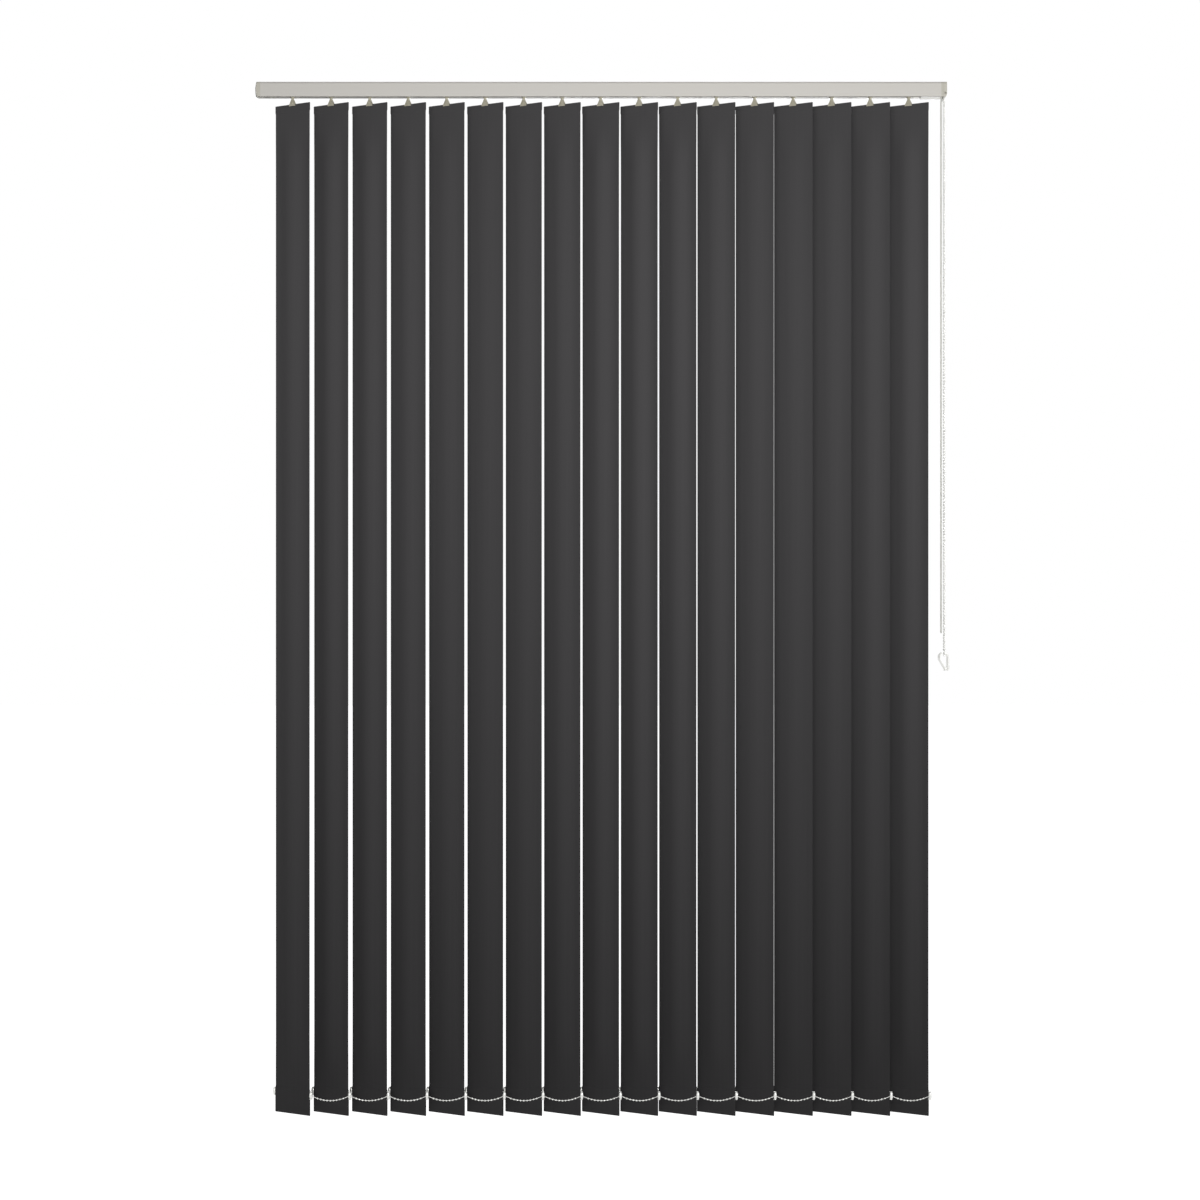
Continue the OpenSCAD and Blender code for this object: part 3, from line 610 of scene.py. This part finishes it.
@dataclass
class Studio:
    """Camera, soft light, pale floor and white surroundings, with sizes in metres."""

    # The view is level, so uprights stay upright; the shift sets where the horizon lies
    camera_place: tuple[float, float, float] = (-0.0014, -5.396, -1.066)
    # Focal length and sensor width are in millimetres
    lens: float = 79.9
    sensor_width: float = 36.0
    shift: float = 0.0075
    floor_level: float = -2.35
    floor_size: float = 60.0
    ambient: float = 0.14

    def camera(self) -> None:
        """Makes the camera and sets it as the scene's."""
        data = bpy.data.cameras.new("camera")
        data.lens = self.lens
        data.sensor_width = self.sensor_width
        data.shift_y = self.shift
        made = bpy.data.objects.new("camera", data)
        made.location = self.camera_place
        made.rotation_euler = (math.pi / 2, 0, 0)
        bpy.context.scene.collection.objects.link(made)
        bpy.context.scene.camera = made

    def lamp(self, name: str, place: tuple[float, float, float], aim: tuple[float, float, float],
             size: tuple[float, float], power: float, spread: float) -> None:
        """Adds one rectangular soft lamp.

        Args:
            name: name of the lamp.
            place: where it hangs.
            aim: the point that it faces.
            size: its width and height.
            power: its power in watts.
            spread: angle in degrees to which a honeycomb grid narrows its beam.
        """
        data = bpy.data.lights.new(name, "AREA")
        data.shape = "RECTANGLE"
        data.size, data.size_y = size
        data.energy = power
        data.spread = math.radians(spread)
        made = bpy.data.objects.new(name, data)
        made.location = place
        made.rotation_euler = (Vector(aim) - Vector(place)).to_track_quat("-Z", "Y").to_euler()
        bpy.context.scene.collection.objects.link(made)

    @staticmethod
    def ray_is(tree: bpy.types.NodeTree, kinds: tuple[str, ...]) -> bpy.types.NodeSocket:
        """A value that is 1 for light rays of the kinds given, and 0 for others.

        Args:
            tree: node tree that gets the nodes.
            kinds: outputs of Blender's Light Path node.

        Returns:
            The socket that gives the value.
        """
        ray = add_node(tree, "LightPath", {}, {})
        found = ray.outputs[kinds[0]]
        for kind in kinds[1:]:
            either = add_node(tree, "Math", {"operation": "MAXIMUM"},
                              {0: found, 1: ray.outputs[kind]})
            found = either.outputs[0]
        return found

    def surroundings(self) -> None:
        """White to the camera, in reflections and through the cord, and an even level elsewhere."""
        world = bpy.data.worlds.new("surroundings")
        world.use_nodes = True
        bpy.context.scene.world = world
        tree = world.node_tree
        tree.nodes.clear()
        seen = self.ray_is(tree, ("Is Camera Ray", "Is Glossy Ray", "Is Transmission Ray"))
        plain = linear("#ffffff")
        even = add_node(tree, "Background", {"Color": plain, "Strength": self.ambient}, {})
        white = add_node(tree, "Background", {"Color": plain, "Strength": 1.0}, {})
        mixed = add_node(tree, "MixShader", {},
                         {0: seen, 1: even.outputs[0], 2: white.outputs[0]})
        add_node(tree, "OutputWorld", {}, {"Surface": mixed.outputs[0]})

    def floor(self) -> None:
        """A wide pale floor that is white to the camera and in reflections."""
        half = self.floor_size / 2 / MM
        places = np.linspace(-half, half, 3)
        x, y = np.meshgrid(places, places)
        shell = Shell()
        shell.add(np.stack([x, y, np.full_like(x, self.floor_level / MM)], axis=-1))
        made = shell.build("floor")
        pale = bpy.data.materials.new("pale_floor")
        pale.use_nodes = True
        tree = pale.node_tree
        tree.nodes.clear()
        matt = add_node(tree, "BsdfDiffuse", {"Color": linear("#f2f2f2")}, {})
        seen = self.ray_is(tree, ("Is Camera Ray", "Is Glossy Ray"))
        glow = add_node(tree, "Emission", {"Color": linear("#ffffff")}, {"Strength": seen})
        both = add_node(tree, "AddShader", {}, {0: matt.outputs[0], 1: glow.outputs[0]})
        add_node(tree, "OutputMaterial", {}, {"Surface": both.outputs[0]})
        made.data.materials.append(pale)

    def build(self) -> None:
        """Makes the lamps, the floor and the surroundings."""
        bpy.context.scene.view_settings.view_transform = "Standard"
        self.surroundings()
        self.floor()
        self.lamp("key", place=(3.4, -4.4, -0.7), aim=(0.55, 0.0, -0.35), size=(2.0, 0.8),
                  power=15.0, spread=48.0)
        self.lamp("fill", place=(-0.9, -5.7, -0.8), aim=(-0.4, 0.0, -0.35), size=(2.4, 0.8),
                  power=10.6, spread=48.0)
        self.lamp("back", place=(0.8, 5.4, -0.4), aim=(0.0, 0.0, -0.6), size=(2.4, 1.2),
                  power=14.0, spread=60.0)


@dataclass(frozen=True)
class Stations:
    """Where the vanes hang, and how they are turned at rest."""

    rest_angle: float = 33.5
    pitch: float = 78.0
    stacked_pitch: float = 19.0

    def numbers(self) -> list[str]:
        """Two-figure numbers of the stations, in order along the headrail."""
        return sorted(name[-2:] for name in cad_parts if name.startswith("vane_"))

    def stem(self, number: str) -> float:
        """Place of a stem along X: the middle of its hook's box.

        Args:
            number: the station's number.

        Returns:
            The place in millimetres.
        """
        low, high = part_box("hook_" + number)
        return (low.x + high.x) / 2 / MM

    def turn(self, points: np.ndarray, number: str) -> np.ndarray:
        """Turns points of a vane to its angle at rest and moves them to its stem.

        Args:
            points: points in the vane's own place, with 3 values each.
            number: the station's number.

        Returns:
            Points of the same shape.
        """
        angle = math.radians(-self.rest_angle)
        cos, sin = math.cos(angle), math.sin(angle)
        x, y, z = points[..., 0], points[..., 1], points[..., 2]
        return np.stack([x * cos - y * sin + self.stem(number), x * sin + y * cos, z], axis=-1)


@dataclass(frozen=True)
class VaneFabric:
    """One vane's cloth: a strip folded over and welded at both ends, so that it has two hems."""

    width: float = 89.0
    length: float = 2045.0
    thickness: float = 0.5
    # The cloth bows in a gentle wave: the height of its crest on the vanes that wave most and
    # least, the wave's length, its crest's place across, and the run over which it grows
    wave: tuple[float, float] = (2.1, 0.7)
    wave_length: float = 71.0
    wave_crest: float = -6.2
    wave_run: float = 110.0
    # Vanes from one that waves most to the next, and the first of them
    wave_period: float = 8.0
    wave_start: int = 2
    seam: float = 3.0
    top_hem: float = 16.9
    bottom_hem: float = 52.9
    top_hem_thickness: float = 2.6
    bottom_hem_thickness: float = 3.4
    # A welded flap lies nearly flush on the back of the sheet
    flap_lift: float = 0.45
    seam_points: int = 6
    fold_points: int = 9
    columns: int = 16
    panel_rows: int = 64
    # Shares of the rows that lie above the ends of the two stretches where the wave grows
    row_shares: tuple[float, ...] = (0.0, 0.25, 0.75, 1.0)

    def seam_line(self, start: float, end: float, out: float, back: float) -> np.ndarray:
        """An S-shaped step between a hem's wall and the sheet, as depth and offset.

        Args:
            start: depth at which the step begins.
            end: depth at which it ends.
            out: offset at its start.
            back: offset at its end.

        Returns:
            Points shaped (n, 2).
        """
        t = np.linspace(0, 1, self.seam_points)
        return np.stack([start + (end - start) * t, out + (back - out) * ease(t)], axis=-1)

    def fold(self, depth: float, radius: float, turn: float) -> np.ndarray:
        """A half-round fold from the back wall to the front one, or the other way.

        Args:
            depth: depth of its middle.
            radius: radius of the fold.
            turn: 1 for the fold at the top, from back to front, and -1 for the one at the bottom.

        Returns:
            Points shaped (n, 2).
        """
        a = np.linspace(0, np.pi, self.fold_points)
        return np.stack([depth - turn * radius * np.sin(a), turn * radius * np.cos(a)], axis=-1)

    def midline(self) -> np.ndarray:
        """The cloth's middle line, from the flap at the top to the flap at the bottom.

        Returns:
            Points of depth below the top edge and offset to the back, shaped (n, 2).
        """
        half = self.thickness / 2
        top = self.top_hem_thickness / 2 - half
        bottom = self.bottom_hem_thickness / 2 - half
        upper = self.top_hem - self.seam
        lower = self.length - self.bottom_hem
        runs = (self.top_hem, self.top_hem + self.wave_run, lower - self.wave_run, lower)
        share = np.linspace(0, 1, self.panel_rows + 2)[1:-1]
        panel = np.interp(share, self.row_shares, runs)
        return np.concatenate([
            self.seam_line(self.top_hem, upper, self.flap_lift, top),
            self.fold(half + top, top, 1),
            self.seam_line(upper, self.top_hem, -top, 0),
            np.stack([panel, np.zeros_like(panel)], axis=-1),
            self.seam_line(lower, lower + self.seam, 0, -bottom),
            self.fold(self.length - half - bottom, bottom, -1),
            self.seam_line(lower + self.seam, lower, bottom, self.flap_lift)])

    def wave_share(self, depth: np.ndarray) -> np.ndarray:
        """Share of the wave at a depth: none at the hems, and full a little way from them.

        Args:
            depth: depths below the top edge.

        Returns:
            Shares from 0 to 1.
        """
        from_top = (depth - self.top_hem) / self.wave_run
        from_bottom = (self.length - self.bottom_hem - depth) / self.wave_run
        return ease(from_top) * ease(from_bottom)

    def surface(self, edge_line: np.ndarray, across: np.ndarray, top: float,
                height: float) -> np.ndarray:
        """Points of one face: offset - h (cos(2π (x - crest) / length) - line).

        The line joins the wave's values at both edges, so that the edges stay in the vane's plane.
        A wave of height h shortens the width by about (π h / length)² of it.

        Args:
            edge_line: depth and offset along the strip, shaped (n, 2).
            across: places across the vane, from -1 to 1.
            top: level of the vane's top edge.
            height: height of the wave's crest.

        Returns:
            A grid shaped (n, len(across), 3).
        """
        depth, offset = edge_line[:, :1], edge_line[:, 1:]
        crest = height * self.wave_share(depth)
        chord = self.width * (1 - (math.pi * crest / self.wave_length) ** 2)
        wave = np.cos(2 * math.pi * (across * self.width / 2 - self.wave_crest) / self.wave_length)
        wave -= np.interp(across, across[[0, -1]], wave[[0, -1]])
        return np.stack(np.broadcast_arrays(
            across * chord / 2, offset - crest * wave, top - depth), axis=-1)

    def cut_length(self) -> float:
        """Length of the strip before it was folded."""
        return path_length(self.midline())

    def build(self, number: str, stations: Stations) -> bpy.types.Object:
        """Makes the cloth of one vane: two faces, closed at the edges.

        Args:
            number: the station's number.
            stations: where the vanes hang.

        Returns:
            The new piece.
        """
        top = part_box("vane_" + number)[1].z / MM
        middle = self.midline()
        ahead = np.gradient(middle, axis=0)
        ahead /= np.linalg.norm(ahead, axis=1, keepdims=True)
        square = np.stack([-ahead[:, 1], ahead[:, 0]], axis=-1) * self.thickness / 2
        across = np.linspace(-1, 1, self.columns + 1)
        phase = 2 * math.pi * (int(number) - self.wave_start) / self.wave_period
        most, least = self.wave
        height = least + (most - least) * (1 + math.cos(phase)) / 2
        outer = self.surface(middle - square, across, top, height)
        inner = self.surface(middle + square, across, top, height)[:, ::-1]
        ring = np.concatenate([outer, inner, outer[:, :1]], axis=1)
        run = distances(middle)
        wide = np.concatenate([across, across[::-1], across[:1]]) * self.width / 2
        shell = Shell()
        shell.add(stations.turn(ring, number), np.stack(np.meshgrid(wide, run), axis=-1))
        for row in (0, -1):
            lip = np.stack([outer[row], inner[row, ::-1]])
            lip_uv = np.stack([across * self.width / 2, np.full_like(across, run[row])], axis=-1)
            shell.add(stations.turn(lip, number), np.stack([lip_uv, lip_uv]))
        return shell.build("vane_fabric_" + number)


@dataclass(frozen=True)
class HemWeight:
    """The plate in a bottom hem with its lugs and pins, and the chain clips that turn on them."""

    width: float = 85.0
    height: float = 49.0
    thickness: float = 2.0
    corner: float = 3.0
    rim: float = 0.5
    hem_gap: float = 0.7
    pin_offset: float = 48.0
    pin_radius: float = 1.25
    lug_height: float = 1.5
    lug_radius: float = 2.0
    clip_gap: float = 0.3
    clip_height: float = 13.0
    clip_radius: float = 3.4
    clip_end_radius: float = 1.9
    round_steps: int = 24
    corner_points: int = 5
    clip_points: int = 15

    def plate_outline(self, low: float) -> np.ndarray:
        """The plate's outline: a rectangle with round corners.

        Args:
            low: level of its lower edge.

        Returns:
            Points shaped (n, 2).
        """
        turn = np.linspace(0, np.pi / 2, self.corner_points)
        quarter = np.stack([np.cos(turn), np.sin(turn)], axis=-1)
        spin = np.array([[0.0, 1.0], [-1.0, 0.0]])
        half = np.array([self.width / 2 - self.corner, self.height / 2 - self.corner])
        signs = np.array([[1, 1], [-1, 1], [-1, -1], [1, -1]])
        arcs = [quarter @ np.linalg.matrix_power(spin, k) * self.corner + half * signs[k]
                for k in range(4)]
        return np.concatenate(arcs) + [0, low + self.height / 2]

    def round_post(self, radius: float, low: float, high: float, rim: float) -> np.ndarray:
        """A short round post with rounded rims, closed at both ends.

        Args:
            radius: its radius.
            low: its lower level.
            high: its upper level.
            rim: radius of its rims.

        Returns:
            A grid about Z.
        """
        turn = np.linspace(0, np.pi / 2, RIM_POINTS)
        rise = np.stack([radius - rim * (1 - np.sin(turn)), low + rim * (1 - np.cos(turn))], axis=-1)
        fall = np.stack([rise[::-1, 0], low + high - rise[::-1, 1]], axis=-1)
        profile = np.concatenate([[[0.0, low]], rise, fall, [[0.0, high]]])
        return revolve(profile, self.round_steps)

    def clip_profile(self, low: float) -> np.ndarray:
        """A chain clip's profile: a barrel that swells towards its middle.

        Args:
            low: level of its foot.

        Returns:
            Radius and height, shaped (n, 2).
        """
        turn = np.linspace(-np.pi / 2, np.pi / 2, self.clip_points)
        swell = self.clip_radius - self.clip_end_radius
        outside = np.stack([self.clip_end_radius + swell * np.cos(turn),
                            low + self.clip_height * (1 + np.sin(turn)) / 2], axis=-1)
        bore = self.pin_radius + self.clip_gap
        inside = np.array([[bore, low + self.clip_height], [bore, low]])
        return np.concatenate([outside, inside, outside[:1]])

    def levels(self, number: str) -> tuple[float, float]:
        """Levels of the plate's top and of the chain clips' feet.

        Args:
            number: the station's number.

        Returns:
            Both levels in millimetres.
        """
        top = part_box("vane_" + number)[0].z / MM + self.hem_gap + self.height
        return top, top - self.lug_height - self.clip_gap - self.clip_height

    def build(self, number: str, stations: Stations) -> bpy.types.Object:
        """Makes one vane's weight with both its lugs, pins and chain clips.

        Args:
            number: the station's number.
            stations: where the vanes hang.

        Returns:
            The new piece.
        """
        top, clip_foot = self.levels(number)
        foot = clip_foot - self.clip_gap - self.lug_height
        shell = Shell()
        low = top - self.height
        shell.add(stations.turn(plate(self.plate_outline(low), self.thickness, self.rim), number))
        for side in Side:
            away = np.array([side.value * self.pin_offset, 0, 0])
            arm = np.array([[self.width / 2 - self.lug_radius, 0], [self.pin_offset, 0],
                            [self.pin_offset, self.lug_height],
                            [self.width / 2 - self.lug_radius, self.lug_height]])
            for level in (top - self.lug_height, foot):
                bar = plate(arm + [0, level], self.thickness, self.rim / 2) * [side.value, 1, 1]
                shell.add(stations.turn(bar, number))
                lug = self.round_post(self.lug_radius, level, level + self.lug_height, self.rim / 2)
                shell.add(stations.turn(lug + away, number))
            pin = self.round_post(self.pin_radius, foot, top, self.rim / 2)
            shell.add(stations.turn(pin + away, number))
            clip = revolve(self.clip_profile(clip_foot), self.round_steps)
            shell.add(stations.turn(clip + away, number))
        return shell.build("hem_weight_" + number)


@dataclass(frozen=True)
class BottomChain:
    """The beads on a string that keep the vanes apart at the bottom, along one edge."""

    sag: float = 10.0
    bead_radius: float = 1.8
    bead_pitch: float = 6.5
    # The string is bare beside the clips, where beads would meet them when the vanes are stacked
    bead_count: int = 9
    string_radius: float = 0.65
    string_rows: int = 24
    string_sides: int = 8
    # The string ends inside a clip, this far from its pin's axis
    string_end: float = 2.25

    def hang(self, x: np.ndarray, pitch: float) -> np.ndarray:
        """Height of the string below its ends: -sag · (1 - (2x / pitch)²)."""
        return -self.sag * (1 - (2 * x / pitch) ** 2)

    def build(self, side: Side, stations: Stations, weight: HemWeight) -> bpy.types.Object:
        """Makes every swag along one edge as one piece.

        Args:
            side: which edge.
            stations: where the vanes hang.
            weight: the weights that carry the chain.

        Returns:
            The new piece.
        """
        numbers = stations.numbers()
        angle = math.radians(stations.rest_angle)
        away = side.value * weight.pin_offset
        clip_foot = weight.levels(numbers[0])[1]
        level = clip_foot + weight.clip_height / 2
        starts = np.array([stations.stem(number) for number in numbers[:-1]])
        middles = np.stack(np.broadcast_arrays(
            starts + stations.pitch / 2 + away * math.cos(angle), -away * math.sin(angle), level),
            axis=-1)
        reach = stations.pitch / 2 - self.string_end
        x = np.linspace(-reach, reach, self.string_rows)
        line = np.stack([x, np.zeros_like(x), self.hang(x, stations.pitch)], axis=-1)
        string = tube(line, self.string_radius, ALONG_Y, self.string_sides)[0]
        x = (np.arange(self.bead_count) - (self.bead_count - 1) / 2) * self.bead_pitch
        beads = np.stack([x, np.zeros_like(x), self.hang(x, stations.pitch)], axis=-1)
        places = (middles[:, None] + beads[None]).reshape(-1, 1, 1, 3)
        shell = Shell()
        shell.add(middles[:, None, None] + string[None])
        shell.add(places + ball(self.bead_radius, *BEAD_STEPS)[None])
        return shell.build(side.name.lower() + "_chain_beads")


@dataclass(frozen=True)
class TiltChain:
    """The endless bead chain that turns the vanes: round beads moulded on a thin string."""

    bead_radius: float = 2.2
    bead_pitch: float = 6.0
    string_radius: float = 0.7
    string_sides: int = 6

    def route(self) -> np.ndarray:
        """The chain's route, down one fall, round its lower bend and up the other fall."""
        return np.array([
            [695.6, 2, -25], [695.6, 2, -32], [697.4, 2, -46], [697.4, 2, -200],
            [697.4, 2, -350], [697.4, 2, -500], [697.4, 2, -650], [697.4, 2, -800],
            [697.4, 2, -950], [697.4, 2, -1100], [697.4, 2, -1154], [697.4, 2.5, -1156.6],
            [697.4, 4, -1158.7], [697.4, 6.1, -1160.2], [697.4, 8.7, -1160.7],
            [697.4, 11.3, -1160.2], [697.4, 13.4, -1158.7], [697.4, 14.9, -1156.6],
            [697.4, 15.4, -1154], [697.4, 15.4, -1100], [697.4, 15.4, -950],
            [697.4, 15.4, -800], [697.4, 15.4, -650], [697.4, 15.4, -500],
            [697.4, 15.4, -350], [697.4, 15.4, -200], [697.4, 15.4, -46],
            [695.6, 15.4, -32], [695.6, 15.4, -25]])

    def build(self) -> tuple[bpy.types.Object, np.ndarray]:
        """Makes the beads and their string as one piece.

        Returns:
            The new piece, and the points of its middle line in millimetres.
        """
        route = self.route()
        count = int(path_length(route) / self.bead_pitch)
        places = (np.arange(count) + 0.5) * self.bead_pitch
        line = resample(route, np.arange(0, path_length(route), self.bead_pitch / 2))
        shell = Shell()
        shell.add(tube(line, self.string_radius, ALONG_X, self.string_sides)[0])
        shell.add(resample(route, places)[:, None, None] + ball(self.bead_radius, *BEAD_STEPS)[None])
        return shell.build("tilt_bead_chain"), line


@dataclass(frozen=True)
class TraverseCord:
    """The endless braided cord that draws the vanes along."""

    radius: float = 1.1
    sides: int = 12
    step: float = 4.0

    def route(self) -> np.ndarray:
        """The cord's route, down one fall, round its lower bend and up the other fall."""
        return np.array([
            [689.3, -14, -25], [689.3, -14, -30], [688.4, -14, -44], [688.4, -14, -200],
            [688.4, -14, -350], [688.4, -14, -500], [688.4, -14, -650], [688.4, -14, -800],
            [688.4, -14, -950], [688.4, -14, -1050], [688.4, -14, -1109], [688.4, -13.6, -1110.9],
            [688.4, -12.5, -1112.5], [688.4, -10.9, -1113.6], [688.4, -9, -1114],
            [688.4, -7.1, -1113.6], [688.4, -5.5, -1112.5], [688.4, -4.4, -1110.9],
            [688.4, -4, -1109], [688.4, -4, -1050], [688.4, -4, -950], [688.4, -4, -800],
            [688.4, -4, -650], [688.4, -4, -500], [688.4, -4, -350], [688.4, -4, -200],
            [688.4, -4, -44], [689.3, -4, -30], [689.3, -4, -25]])

    def build(self) -> tuple[bpy.types.Object, np.ndarray]:
        """Makes the cord as one tube.

        Returns:
            The new piece, and the points of its middle line in millimetres.
        """
        route = self.route()
        run = path_length(route)
        line = resample(route, np.linspace(0, run, int(run / self.step)))
        grid, uv = tube(line, self.radius, ALONG_X, self.sides)
        shell = Shell()
        shell.add(grid, uv)
        for end in (0, -1):
            shell.add(np.stack([np.broadcast_to(line[end], grid[end].shape), grid[end]]))
        return shell.build("traverse_cord_braid"), line


class Blind:
    """The whole blind: new pieces for what is soft or fine, and finishes for the rest."""

    CAD_FINISHES = {
        "headrail": Slot.RAIL,
        "idle_end_cap": Slot.ENDS,
        "control_housing": Slot.ENDS,
        "mounting_clips": Slot.CLIP_STEEL,
        "tilt_rod": Slot.ROD,
        "cord_clip": Slot.CHAIN,
        "carrier": Slot.CARRIER,
        "hook": Slot.HOOK,
    }

    def __init__(self) -> None:
        """Settles the stations and the finishes."""
        self.stations = Stations()
        self.weight = HemWeight()
        self.wardrobe = Wardrobe()

    def cords(self) -> None:
        """Hangs the tilt chain and the traverse cord."""
        chain = TiltChain()
        piece, line = chain.build()
        self.wardrobe.add(piece, Slot.CHAIN, "rail")
        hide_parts("tilt_chain")
        cord = TraverseCord()
        piece, line = cord.build()
        self.wardrobe.add(piece, Slot.CORD, "rail")
        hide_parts("traverse_cord")

    def vanes(self) -> None:
        """Hangs each vane's cloth on its hook and puts its weight in the hem."""
        cloth = VaneFabric()
        for number in self.stations.numbers():
            piece = cloth.build(number, self.stations)
            self.wardrobe.add(piece, Slot.FABRIC, "blade_" + number)
            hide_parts("vane_" + number)
            weight = self.weight.build(number, self.stations)
            self.wardrobe.add(weight, Slot.CHAIN, "blade_" + number)
            cloth.cut_length() * MM

    def bottom_chains(self) -> None:
        """Joins the weights with beads along each edge, hung as at rest; on a real blind they close
        up as the vanes are drawn together.
        """
        stations = self.stations
        last = stations.stem(stations.numbers()[-1])
        for side in Side:
            body = side.name.lower() + "_chain"
            piece = BottomChain().build(side, stations, self.weight)
            self.wardrobe.add(piece, Slot.CHAIN, body)
            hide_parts(side.name.lower() + "_bottom_chain")
            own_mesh(piece)

    def rigid_parts(self) -> None:
        """Dresses the solids that stay as they are, numbered ones by the name before the number."""
        for name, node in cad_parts.items():
            slot = self.CAD_FINISHES.get(name) or self.CAD_FINISHES.get(name[:-3])
            if slot:
                self.wardrobe.dress(node, slot)
                LOG.info("%s is dressed as %s", name, slot.value)


def main() -> None:
    """Builds the scene."""
    logging.basicConfig(level=logging.INFO, format="%(message)s")
    studio = Studio()
    studio.camera()
    blind = Blind()
    blind.cords()
    blind.vanes()
    blind.bottom_chains()
    blind.rigid_parts()
    studio.build()


if __name__ == "__main__":
    main()
